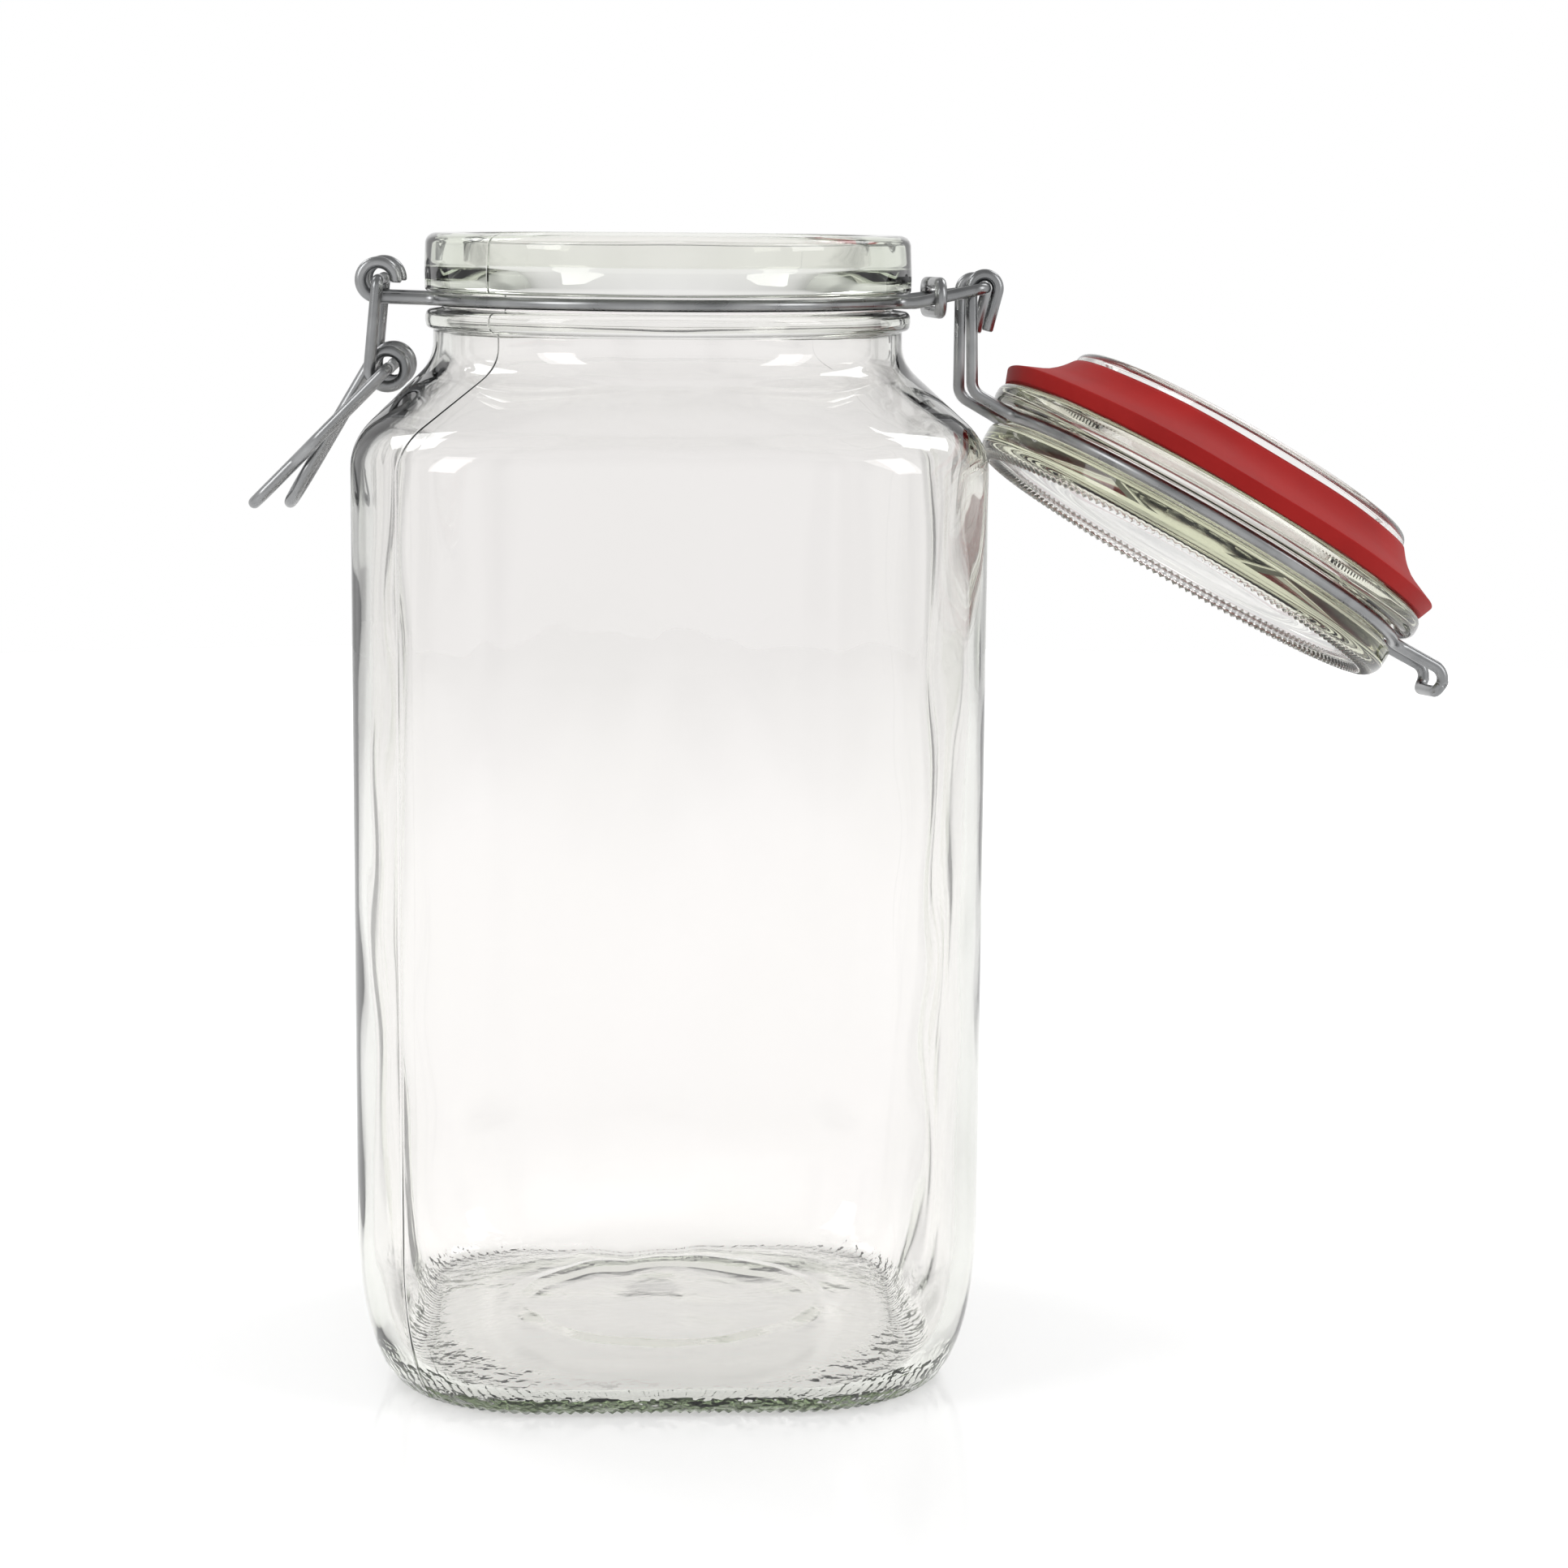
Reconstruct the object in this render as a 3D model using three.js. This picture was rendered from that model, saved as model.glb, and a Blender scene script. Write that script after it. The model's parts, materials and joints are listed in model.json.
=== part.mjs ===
// A square glass canister with a round neck, closed by a glass lid that is held on by bent wire:
// a neck wire with the hinge bar, a lid wire with the catch loop, a latch lever and its bail.
// Millimetres, +Z up. The origin is the middle of the flat underside of the jar. The hinge is on
// the +X side and the latch on the -X side. The lid stands open, as it hangs from its hinge bar.

import * as THREE from 'three';

// ---- driving dimensions -------------------------------------------------------------------

const clearance = 0.3;            // free play left between pieces that touch
const wireDiameter = 2.5;
const wireRadius = wireDiameter / 2;
const roundSides = 48;            // facets round the jar and the lid

// jar body
const bodyWidth = 132;
const bodyCornerRadius = 37;
const jarHeight = 242.5;
const wallThickness = 3.5;
const baseThickness = 9;
const heelInset = 10.5;           // how far the foot is drawn in
const heelHeight = 34;
const footCornerRadius = 30;
const innerHeelRadius = 17;

// jar shoulder and neck
const neckRadius = 50;
const shoulderTopZ = jarHeight - 23;
const shoulderAngle = 46;         // slope of the shoulder from upright, in degrees
const shoulderRound = 13;
const shoulderFillet = 9;
const neckWall = 5;
const mouthRadius = neckRadius - 7;
const mouthLength = 7;
const mouthRound = 2;
const beadHeight = 4.6;
const beadBulge = 1.6;
const grooveHeight = wireDiameter + 3 * clearance;
const grooveRadius = neckRadius - 2;
const rimRadius = neckRadius + 1.7;
const rimHeight = 12.2;
const rimRound = 2.2;
const rimFootInset = 0.5;         // the rim's lower edge is softened by this much
const rimFootRise = 0.8;

// wire round the neck
const neckWireZ = jarHeight - rimHeight - grooveHeight / 2;
const neckRingRadius = grooveRadius + wireRadius + clearance;
const neckWireBend = 4.5;         // where the ring's wire leaves the neck
const eyeRadius = wireDiameter + 1.15;         // centre line of the two front eyes
const eyeRise = 0.35;             // eye bottom above the ring's centre line
const eyeY = 11.5;
const eyeReach = bodyWidth / 2 - 5;            // eye centre from the jar's axis
const hingeReach = bodyWidth / 2 + 0.6;        // hinge bar from the jar's axis
const hingeRise = 2.6;            // middle of the hinge bar above the neck ring
const hingeTilt = 2.6;            // degrees that the hinge bar drops from its -Y to its +Y end
const hingeStrandY = 15;
const hingeCornerBend = 2.8;
const keeperX = hingeReach - 9.8;
const keeperSlack = 0.6;          // free play round each strand inside the keeper ring
const keeperJoint = clearance + 0.1;           // between the keeper ring's two ends

// latch lever and bail
const leverArmLength = 18.5;      // lever pivot to the coil's centre
const leverFreeLean = 16;         // degrees that the arms lean in if the coil meets nothing
const leverArmY = eyeY + wireDiameter + 2 * clearance;
const pinBend = 1.6;              // where an arm turns in to its pin
const pinOverhang = 0.8;          // pin end beyond the eye
const coilRadius = wireDiameter + 1.2;
const coilPitch = wireDiameter + 0.2;
const handleLength = 35.8;
const handleTurn = 36.6;          // degrees from the arms' line out to the handle's
const handleBend = 9.6;
const bailLength = 40.4;
const bailTurn = 14.3;            // degrees from the handle's line out to the bail's
const bailArmY = leverArmY + coilPitch + 0.1;
const bailTaperStart = leverArmLength + wireDiameter - clearance;
const bailTaperEnd = (coilRadius + wireDiameter + 2 * clearance)
  / Math.sin(bailTurn * Math.PI / 180);        // where the bail clears the handle sideways
const bailEndY = 12.4;
const bailBend = 4;

// lid
const seatHeight = jarHeight + clearance;      // underside of the gasket when the lid is closed
const gasketThickness = 1.8;      // pressed flat
const gasketRadius = rimRadius + 0.8;
const gasketEdge = 0.5;
const gasketLipDepth = 5;
const gasketLipWall = 1.1;
const gasketLipFlare = 2;
const plugRadius = mouthRadius - 2.5;
const plugDepth = 10;
const plugWall = 5;
const plugEdge = 1;
const lidHollowTop = 10.5;
const lidHollowRound = 12;
const flangeRadius = rimRadius + 0.3;
const flangeHeight = 5.2;
const flangeRound = 2;
const lidGrooveHeight = wireDiameter + 3 * clearance;
const lidGrooveRadius = flangeRadius - 5;
const crownRadius = flangeRadius - 2.5;
const crownEdge = 1;
const crownRound = 3.6;
const lidHeight = 18.3;
const topDiscRadius = crownRadius - 5.5;
const topDiscDip = 1;

// wire round the lid
const lidRingRadius = lidGrooveRadius + wireRadius + clearance + 0.05;
const lidWireBend = 4.5;          // where the ring's wire leaves the lid
const lidArmBend = 3.5;
const lidArmY = hingeStrandY - wireDiameter - 0.8;
const hookRadius = wireDiameter + clearance;
const hookTail = 9;
const catchY = 8.25;
const catchHook = wireDiameter + 2 * clearance;
const catchTipBend = 2.4;
const catchTipHeight = 13.3;      // above the gasket's underside, with the lid closed
const lidOpenAngle = 210;         // how far the lid has swung back from closed

// ---- small tools --------------------------------------------------------------------------

const radians = (degrees) => degrees * Math.PI / 180;

function polar(radius, degrees) {
  return [radius * Math.cos(radians(degrees)), radius * Math.sin(radians(degrees))];
}

// Points of an arc about (x, y), without its first point.
function arc2(x, y, radiusX, radiusY, from, to, steps) {
  const points = [];
  for (let i = 1; i <= steps; i++) {
    const a = radians(from + (to - from) * i / steps);
    points.push([x + radiusX * Math.cos(a), y + radiusY * Math.sin(a)]);
  }
  return points;
}

function namedMesh(name, geometry, colour, roughness, metalness) {
  const material = new THREE.MeshStandardMaterial({ color: colour, roughness, metalness });
  const mesh = new THREE.Mesh(geometry, material);
  mesh.name = name;
  return mesh;
}

function glassMesh(name, geometry) {
  const mesh = namedMesh(name, geometry, 0xe6efea, 0.05, 0);
  mesh.material.transparent = true;
  mesh.material.opacity = 0.35;
  return mesh;
}

const steelMesh = (name, geometry) => namedMesh(name, geometry, 0x8f9193, 0.35, 0.9);

// ---- wire bending -------------------------------------------------------------------------

// The bent centre line of a wire: it gives back the very points it was made from.
class WireLine extends THREE.Curve {
  constructor(points) {
    super();
    this.points = points;
  }

  getPoint(t) {
    const place = t * (this.points.length - 1);
    const index = Math.min(Math.floor(place + 1e-6), this.points.length - 2);
    return this.points[index].clone().lerp(this.points[index + 1], place - index);
  }

  getPointAt(u) {
    return this.getPoint(u);
  }

  getTangentAt(u) {
    const last = this.points.length - 1;
    const index = Math.round(u * last);
    const here = this.points[index];
    const tangent = new THREE.Vector3();
    if (index > 0) tangent.add(here.clone().sub(this.points[index - 1]).normalize());
    if (index < last) tangent.add(this.points[index + 1].clone().sub(here).normalize());
    return tangent.normalize();
  }
}

// Rounds each corner [x, y, z, bend] to its bend radius. Corners with no bend stay as they are.
function bend(corners) {
  const places = corners.map(([x, y, z]) => new THREE.Vector3(x, y, z));
  const points = [];
  corners.forEach(([, , , radius], i) => {
    const here = places[i];
    if (!radius || i === 0 || i === places.length - 1) {
      points.push(here);
      return;
    }
    const back = places[i - 1].clone().sub(here).normalize();
    const ahead = places[i + 1].clone().sub(here).normalize();
    const turn = Math.PI - back.angleTo(ahead);
    const inward = back.clone().add(ahead).normalize();
    const centre = here.clone().addScaledVector(inward, radius / Math.cos(turn / 2));
    const start = here.clone().addScaledVector(back, radius * Math.tan(turn / 2)).sub(centre);
    const axis = ahead.clone().cross(back).normalize();
    const steps = Math.max(2, Math.ceil(turn / radians(24)));
    for (let k = 0; k <= steps; k++) {
      points.push(start.clone().applyAxisAngle(axis, turn * k / steps).add(centre));
    }
  });
  return points;
}

// Corners along an arc in an upright plane at one y.
function uprightArc(x, z, radius, y, from, to, step = 24) {
  const count = Math.max(2, Math.ceil(Math.abs(to - from) / step));
  const corners = [];
  for (let i = 0; i <= count; i++) {
    const [dx, dz] = polar(radius, from + (to - from) * i / count);
    corners.push([x + dx, y, z + dz]);
  }
  return corners;
}

// Corners along a level ring about the jar's axis.
function levelArc(radius, z, from, to, step = 7.5) {
  const count = Math.max(2, Math.ceil(Math.abs(to - from) / step));
  const corners = [];
  for (let i = 0; i <= count; i++) {
    const [x, y] = polar(radius, from + (to - from) * i / count);
    corners.push([x, y, z]);
  }
  return corners;
}

// Where the tangent of a ring at one bearing crosses a given y.
const tangentX = (radius, bearing, y) =>
  (radius - y * Math.sin(radians(bearing))) / Math.cos(radians(bearing));

// A wire made of two sides, +Y then -Y, that meet where both of them end.
const bothSides = (side) => [...side(1), ...side(-1).reverse()];

function wireGeometry(corners) {
  const points = bend(corners);
  const section = new THREE.Shape(arc2(0, 0, wireRadius, wireRadius, 0, 360, 8)
    .map(([x, y]) => new THREE.Vector2(x, y)));
  const line = new WireLine(points);
  return new THREE.ExtrudeGeometry(section, { steps: points.length - 1, extrudePath: line });
}

// ---- jar ----------------------------------------------------------------------------------

// A level ring of the jar: a square with round corners, seen from its middle at even bearings.
function squareRing(z, halfWidth, cornerRadius) {
  const corner = halfWidth - cornerRadius;
  const ring = [];
  for (let i = 0; i < roundSides; i++) {
    const [dx, dy] = polar(1, 360 * i / roundSides);
    const across = Math.max(Math.abs(dx), Math.abs(dy));
    const along = Math.min(Math.abs(dx), Math.abs(dy));
    let reach = halfWidth / across;
    if (reach * along > corner) {
      const toCorner = corner * (across + along);
      reach = toCorner + Math.sqrt(toCorner ** 2 - 2 * corner ** 2 + cornerRadius ** 2);
    }
    ring.push([dx * reach, dy * reach, z]);
  }
  return ring;
}

// A closed skin over a stack of rings, ending in a point on the axis at both ends.
function ringSkin(rings, firstZ, lastZ) {
  const vertices = [0, 0, firstZ, ...rings.flat(2), 0, 0, lastZ];
  const last = rings.length * roundSides + 1;
  const at = (ring, side) => 1 + ring * roundSides + side % roundSides;
  const faces = [];
  for (let side = 0; side < roundSides; side++) {
    faces.push(0, at(0, side + 1), at(0, side));
    for (let ring = 0; ring < rings.length - 1; ring++) {
      faces.push(at(ring, side), at(ring, side + 1), at(ring + 1, side));
      faces.push(at(ring + 1, side), at(ring, side + 1), at(ring + 1, side + 1));
    }
    faces.push(last, at(rings.length - 1, side), at(rings.length - 1, side + 1));
  }
  const geometry = new THREE.BufferGeometry();
  geometry.setAttribute('position', new THREE.Float32BufferAttribute(vertices, 3));
  geometry.setIndex(faces);
  geometry.computeVertexNormals();
  return geometry;
}

// The shoulder's outline [reach, z] from the side of the body up to the neck.
function shoulderOutline(halfWidth, neck, topZ, round, fillet) {
  const drop = 1 - Math.cos(radians(shoulderAngle));
  const slope = (halfWidth - neck - (round + fillet) * drop) / Math.sin(radians(shoulderAngle));
  const rise = (round + fillet) * Math.sin(radians(shoulderAngle))
    + slope * Math.cos(radians(shoulderAngle));
  const startZ = topZ - rise;
  return [
    [halfWidth, startZ],
    ...arc2(halfWidth - round, startZ, round, round, 0, shoulderAngle, 4),
    ...arc2(neck + fillet, topZ, -fillet, -fillet, shoulderAngle, 0, 3),
  ];
}

function jarGlass() {
  const half = bodyWidth / 2;
  const rimBottomZ = jarHeight - rimHeight;
  const beadTopZ = rimBottomZ - grooveHeight;
  const beadMidZ = beadTopZ - beadHeight / 2;
  const outside = [
    [half - heelInset, 0],
    ...arc2(half - heelInset, heelHeight, heelInset, -heelHeight, 90, 0, 5),
    ...shoulderOutline(half, neckRadius, shoulderTopZ, shoulderRound, shoulderFillet),
    [neckRadius, beadTopZ - beadHeight],
    ...arc2(neckRadius, beadMidZ, beadBulge, beadHeight / 2, -60, 60, 3),
    [grooveRadius, beadTopZ],
    [grooveRadius, rimBottomZ],
    [rimRadius - rimFootInset, rimBottomZ],
    [rimRadius, rimBottomZ + rimFootRise],
    [rimRadius, jarHeight - rimRound],
    ...arc2(rimRadius - rimRound, jarHeight - rimRound, rimRound, rimRound, 0, 90, 3),
  ];
  const innerHalf = half - wallThickness;
  const innerNeck = neckRadius - neckWall;
  const mouthBottomZ = jarHeight - mouthLength;
  const inside = [
    [mouthRadius + mouthRound, jarHeight],
    ...arc2(mouthRadius + mouthRound, jarHeight - mouthRound, -mouthRound, mouthRound, 90, 0, 3),
    [mouthRadius, mouthBottomZ],
    [innerNeck, mouthBottomZ - 2 * (innerNeck - mouthRadius)],
    ...shoulderOutline(innerHalf, innerNeck, shoulderTopZ - wallThickness / 2,
      shoulderRound - wallThickness, shoulderFillet + wallThickness).reverse(),
    [innerHalf, baseThickness + innerHeelRadius],
    ...arc2(innerHalf - innerHeelRadius, baseThickness + innerHeelRadius,
      innerHeelRadius, -innerHeelRadius, 0, 90, 4),
  ];
  // The corners tighten towards the foot. Above the body they open out to the neck's circle.
  const tightening = (bodyCornerRadius - footCornerRadius) / heelInset;
  const ring = (width, neck, corner) => ([reach, z]) => {
    if (z < jarHeight / 2) return squareRing(z, reach, corner - tightening * (width - reach));
    const share = Math.min(1, Math.max(0, (width - reach) / (width - neck)));
    return squareRing(z, reach, Math.min(reach, corner + (neck - corner) * share));
  };
  const outerRings = outside.map(ring(half, neckRadius, bodyCornerRadius));
  const innerRings = inside.map(ring(innerHalf, innerNeck, bodyCornerRadius - wallThickness));
  return ringSkin([...outerRings, ...innerRings], 0, baseThickness);
}

// ---- wire pieces of the jar ---------------------------------------------------------------

const leverPivot = { x: -eyeReach, z: neckWireZ + eyeRadius + eyeRise };
const hingeBar = { x: hingeReach, z: neckWireZ + hingeRise };

// The hinge bar's height at one y. The bar isn't quite level.
const barHeight = (y) => hingeBar.z - y * Math.tan(radians(hingeTilt));

function neckWire() {
  const frontBearing = 161.5;
  const hingeBearing = 22;
  const frontX = tangentX(neckRingRadius, frontBearing, eyeY);
  const hingeX = tangentX(neckRingRadius, hingeBearing, hingeStrandY);
  const side = (sign) => {
    const strandY = sign * hingeStrandY;
    return [
      ...uprightArc(leverPivot.x, leverPivot.z, eyeRadius, sign * eyeY, -8, 270),
      [frontX, sign * eyeY, neckWireZ, neckWireBend],
      ...levelArc(neckRingRadius, neckWireZ, sign * frontBearing, sign * hingeBearing),
      [hingeX, strandY, neckWireZ, neckWireBend],
      [rimRadius, strandY, neckWireZ, neckWireBend],
      [hingeBar.x, strandY, barHeight(strandY), hingeCornerBend],
    ];
  };
  return wireGeometry(bothSides(side));
}

// An oval ring, bent round until its two ends meet, that ties the two hinge strands together.
function keeperRing() {
  const loop = wireDiameter + keeperSlack;
  const run = (keeperX - rimRadius) / (hingeBar.x - rimRadius);
  const turns = 8;
  const end = (sign) => [keeperX, sign * keeperJoint / 2, neckWireZ + hingeRise * run + loop];
  const side = (sign) => {
    const strandZ = neckWireZ + (barHeight(sign * hingeStrandY) - neckWireZ) * run;
    const corners = [];
    for (let i = 0; i <= turns; i++) {
      const [dy, dz] = polar(loop, 90 - 180 * i / turns);
      corners.push([keeperX, sign * (hingeStrandY + dy), strandZ + dz]);
    }
    return [end(sign), ...corners];
  };
  return wireGeometry(bothSides(side));
}

// ---- latch --------------------------------------------------------------------------------

// The arms lean in until the coil rests on the shoulder, whose slope starts at slopeFoot.
const slopeFoot = shoulderOutline(bodyWidth / 2, neckRadius, shoulderTopZ, shoulderRound,
  shoulderFillet)[4];
const [slopeX, slopeZ] = polar(1, shoulderAngle);
const pivotGap = (eyeReach - slopeFoot[0]) * slopeX + (leverPivot.z - slopeFoot[1]) * slopeZ;
const coilDrop = (pivotGap - coilRadius - wireRadius - clearance) / leverArmLength;
const restingLean = Math.asin(Math.min(1, coilDrop)) * 180 / Math.PI - shoulderAngle;
const leverArmLean = Math.min(leverFreeLean, restingLean);
const handleHeading = 270 + leverArmLean - handleTurn;
const bailHeading = handleHeading - bailTurn;
const coilCentre = {
  x: leverPivot.x + leverArmLength * Math.sin(radians(leverArmLean)),
  z: leverPivot.z - leverArmLength * Math.cos(radians(leverArmLean)),
};
const pinEndY = eyeY - wireRadius - pinOverhang;

// From the pin in the neck wire's eye, down to a coil of one turn, and on into the handle's arms.
function latchLever() {
  const armHeading = 270 + leverArmLean
    - Math.asin(coilRadius / leverArmLength) * 180 / Math.PI;
  const coilStart = armHeading - 90;
  const coilEnd = handleHeading + 270;
  const coil = uprightArc(coilCentre.x, coilCentre.z, coilRadius, 0, coilStart, coilEnd)
    .map(([x, , z], i, all) => [x, leverArmY - coilPitch * i / (all.length - 1), z]);
  const handleY = leverArmY - coilPitch;
  const [handleDx, handleDz] = polar(handleLength, handleHeading);
  const [sideDx, sideDz] = polar(coilRadius, handleHeading - 90);
  const handleX = coilCentre.x + handleDx + sideDx;
  const handleZ = coilCentre.z + handleDz + sideDz;
  return wireGeometry(bothSides((sign) => [
    [leverPivot.x, sign * pinEndY, leverPivot.z],
    [leverPivot.x, sign * leverArmY, leverPivot.z, pinBend],
    ...coil.map(([x, y, z]) => [x, sign * y, z]),
    [handleX, sign * handleY, handleZ, handleBend],
  ]));
}

// A stirrup that hangs from the lever's coils. Its arms pass outside the lever and its end
// narrows to lie on the handle.
function latchBail() {
  const along = (distance, y, radius) => {
    const [dx, dz] = polar(distance, bailHeading);
    return [coilCentre.x + dx, y, coilCentre.z + dz, radius];
  };
  return wireGeometry(bothSides((sign) => [
    along(0, sign * pinEndY, 0),
    along(0, sign * bailArmY, pinBend),
    along(bailTaperStart, sign * bailArmY, bailBend),
    along(bailTaperEnd, sign * bailEndY, bailBend),
    along(bailLength, sign * bailEndY, bailBend),
  ]));
}

// ---- lid, drawn closed --------------------------------------------------------------------

const lathe = (outline) => {
  const points = outline.map(([r, z]) => new THREE.Vector2(r, z));
  return new THREE.LatheGeometry(points, roundSides).rotateX(Math.PI / 2);
};

const flangeBottom = gasketThickness + clearance;
const lidGrooveBottom = flangeBottom + flangeHeight;
const lidGrooveTop = lidGrooveBottom + lidGrooveHeight;
const lidRingZ = seatHeight + (lidGrooveBottom + lidGrooveTop) / 2;

function lidGlass() {
  const hollowRadius = plugRadius - plugWall;
  const outline = [
    [0, lidHollowTop],
    [hollowRadius - lidHollowRound, lidHollowTop],
    ...arc2(hollowRadius - lidHollowRound, lidHollowTop - lidHollowRound,
      lidHollowRound, lidHollowRound, 90, 0, 3),
    [hollowRadius, -plugDepth],
    [plugRadius - plugEdge, -plugDepth],
    [plugRadius, plugEdge - plugDepth],
    [plugRadius, flangeBottom],
    [flangeRadius - flangeRound, flangeBottom],
    ...arc2(flangeRadius - flangeRound, flangeBottom + flangeRound,
      flangeRound, flangeRound, -90, 0, 2),
    ...arc2(flangeRadius - flangeRound, lidGrooveBottom - flangeRound,
      flangeRound, flangeRound, 0, 90, 2),
    [lidGrooveRadius, lidGrooveBottom],
    [lidGrooveRadius, lidGrooveTop],
    [crownRadius - crownEdge, lidGrooveTop],
    [crownRadius, lidGrooveTop + crownEdge],
    [crownRadius, lidHeight - crownRound],
    ...arc2(crownRadius - crownRound, lidHeight - crownRound, crownRound, crownRound, 0, 90, 3),
    [topDiscRadius, lidHeight],
    [topDiscRadius - topDiscDip, lidHeight - topDiscDip],
    [0, lidHeight - topDiscDip],
  ];
  return lathe(outline.map(([r, z]) => [r, z + seatHeight]));
}

function lidGasket() {
  const innerRadius = plugRadius + clearance;
  const lipRadius = innerRadius + gasketLipWall;
  const outline = [
    [innerRadius, gasketThickness],
    [innerRadius, -gasketLipDepth],
    [lipRadius, -gasketLipDepth],
    [lipRadius, -gasketLipFlare],
    [lipRadius + gasketLipFlare, 0],
    [gasketRadius - gasketEdge, 0],
    [gasketRadius, gasketEdge],
    [gasketRadius, gasketThickness - gasketEdge],
    [gasketRadius - gasketEdge, gasketThickness],
    [innerRadius, gasketThickness],
  ];
  return lathe(outline.map(([r, z]) => [r, z + seatHeight]));
}

// From a hook over the hinge bar, along the arm, round the lid's groove to the catch loop.
function lidWire() {
  const armBearing = 19;
  const catchBearing = 164.5;
  const armX = tangentX(lidRingRadius, armBearing, lidArmY);
  const ringEndX = tangentX(lidRingRadius, catchBearing, catchY);
  const [armDx, armDz] = polar(1, lidOpenAngle - 90);
  const [besideDx, besideDz] = polar(hookRadius, lidOpenAngle - 180);
  const armLength = (lidRingZ - hingeBar.z - besideDz) / armDz;
  const elbowX = hingeBar.x + besideDx + armDx * armLength;
  const hookEnd = lidOpenAngle - 360;
  const tailX = hingeBar.x - besideDx + armDx * hookTail;
  const tailDrop = armDz * hookTail - besideDz;
  const catchX = coilCentre.x - catchHook;
  const catchStrandZ = coilCentre.z + bailLength - catchHook;
  return wireGeometry(bothSides((sign) => {
    const armY = sign * lidArmY;
    const barZ = barHeight(armY);
    return [
      [tailX, armY, barZ + tailDrop],
      ...uprightArc(hingeBar.x, barZ, hookRadius, armY, hookEnd, hookEnd + 180),
      [elbowX, armY, lidRingZ, lidArmBend],
      [armX, armY, lidRingZ, lidWireBend],
      ...levelArc(lidRingRadius, lidRingZ, sign * armBearing, sign * catchBearing),
      [ringEndX, sign * catchY, lidRingZ, lidWireBend],
      [catchX, sign * catchY, catchStrandZ, catchHook],
      [catchX, sign * catchY, seatHeight + catchTipHeight, catchTipBend],
    ];
  }));
}

// ---- assembly -----------------------------------------------------------------------------

const canister = new THREE.Group();
canister.add(glassMesh('jar_glass', jarGlass()));
canister.add(steelMesh('neck_wire', neckWire()));
canister.add(steelMesh('keeper_ring', keeperRing()));
canister.add(steelMesh('latch_lever', latchLever()));
canister.add(steelMesh('latch_bail', latchBail()));

const lid = new THREE.Group();
lid.add(glassMesh('lid_glass', lidGlass()));
lid.add(namedMesh('gasket', lidGasket(), 0xbe2d2a, 0.6, 0));
lid.add(steelMesh('lid_wire', lidWire()));
lid.position.set(-hingeBar.x, 0, -hingeBar.z);

const hingeAxis = new THREE.Vector3(0, Math.cos(radians(hingeTilt)), -Math.sin(radians(hingeTilt)));
const hinge = new THREE.Group();
hinge.add(lid);
hinge.position.set(hingeBar.x, 0, hingeBar.z);
hinge.setRotationFromAxisAngle(hingeAxis, radians(lidOpenAngle));
canister.add(hinge);

export default canister;
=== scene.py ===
import json
import math

import bpy
from mathutils import Matrix, Vector, noise


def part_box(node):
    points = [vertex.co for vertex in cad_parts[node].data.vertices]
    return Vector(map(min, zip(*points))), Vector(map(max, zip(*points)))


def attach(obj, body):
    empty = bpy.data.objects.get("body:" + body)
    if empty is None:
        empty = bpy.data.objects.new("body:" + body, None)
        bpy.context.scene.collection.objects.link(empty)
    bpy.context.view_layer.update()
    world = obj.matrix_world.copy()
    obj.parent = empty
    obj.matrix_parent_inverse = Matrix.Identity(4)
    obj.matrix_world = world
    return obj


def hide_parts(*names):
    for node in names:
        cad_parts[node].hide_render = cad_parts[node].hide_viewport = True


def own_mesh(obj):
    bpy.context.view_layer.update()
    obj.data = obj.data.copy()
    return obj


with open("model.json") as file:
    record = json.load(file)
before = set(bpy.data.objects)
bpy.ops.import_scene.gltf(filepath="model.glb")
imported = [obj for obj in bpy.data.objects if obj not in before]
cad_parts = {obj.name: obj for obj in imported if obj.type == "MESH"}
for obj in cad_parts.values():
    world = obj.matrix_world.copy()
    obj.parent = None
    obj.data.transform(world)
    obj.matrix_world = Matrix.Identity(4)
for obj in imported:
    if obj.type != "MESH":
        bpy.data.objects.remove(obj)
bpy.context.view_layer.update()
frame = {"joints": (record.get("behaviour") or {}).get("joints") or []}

scene = bpy.context.scene
joint = {j["name"]: j for j in frame["joints"]}

# ---- Studio ------------------------------------------------------------------------------------
# A pale table in a bright white room, lit by two big soft lamps in front and two smaller ones
# behind. Glass and metal see the walls as eight bright panels with grey gaps between them, and
# they see painted light on the table round the jar. The camera stands a little above the jar's
# rim and looks slightly down.

eye_distance = 0.7925
eye_height = 0.2485
eye_bearing = math.radians(-1.2)
eye_pitch = math.radians(8.924)
eye_turn = math.radians(1.849)
eye_roll = math.radians(0.463)

camera_data = bpy.data.cameras.new("camera")
camera_data.sensor_width = 36
camera_data.lens = 84.46
camera_data.dof.use_dof = False
camera = bpy.data.objects.new("camera", camera_data)
scene.collection.objects.link(camera)
camera.location = (
    eye_distance * math.sin(eye_bearing),
    -eye_distance * math.cos(eye_bearing),
    eye_height,
)
heading = Matrix.Rotation(eye_bearing - eye_turn, 4, "Z")
tilt = Matrix.Rotation(math.pi / 2 - eye_pitch, 4, "X")
roll = Matrix.Rotation(eye_roll, 4, "Z")
camera.matrix_world = Matrix.Translation(camera.location) @ heading @ tilt @ roll
scene.camera = camera


def soft_lamp(name, place, aim, width, height, power):
    """A rectangular lamp at one place, turned towards another. Its power is in watts."""
    data = bpy.data.lights.new(name, "AREA")
    data.shape = "RECTANGLE"
    data.size = width
    data.size_y = height
    data.energy = power
    lamp = bpy.data.objects.new(name, data)
    scene.collection.objects.link(lamp)
    direction = Vector(aim) - Vector(place)
    turned = direction.to_track_quat("-Z", "Y").to_matrix().to_4x4()
    lamp.matrix_world = Matrix.Translation(place) @ turned


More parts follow.
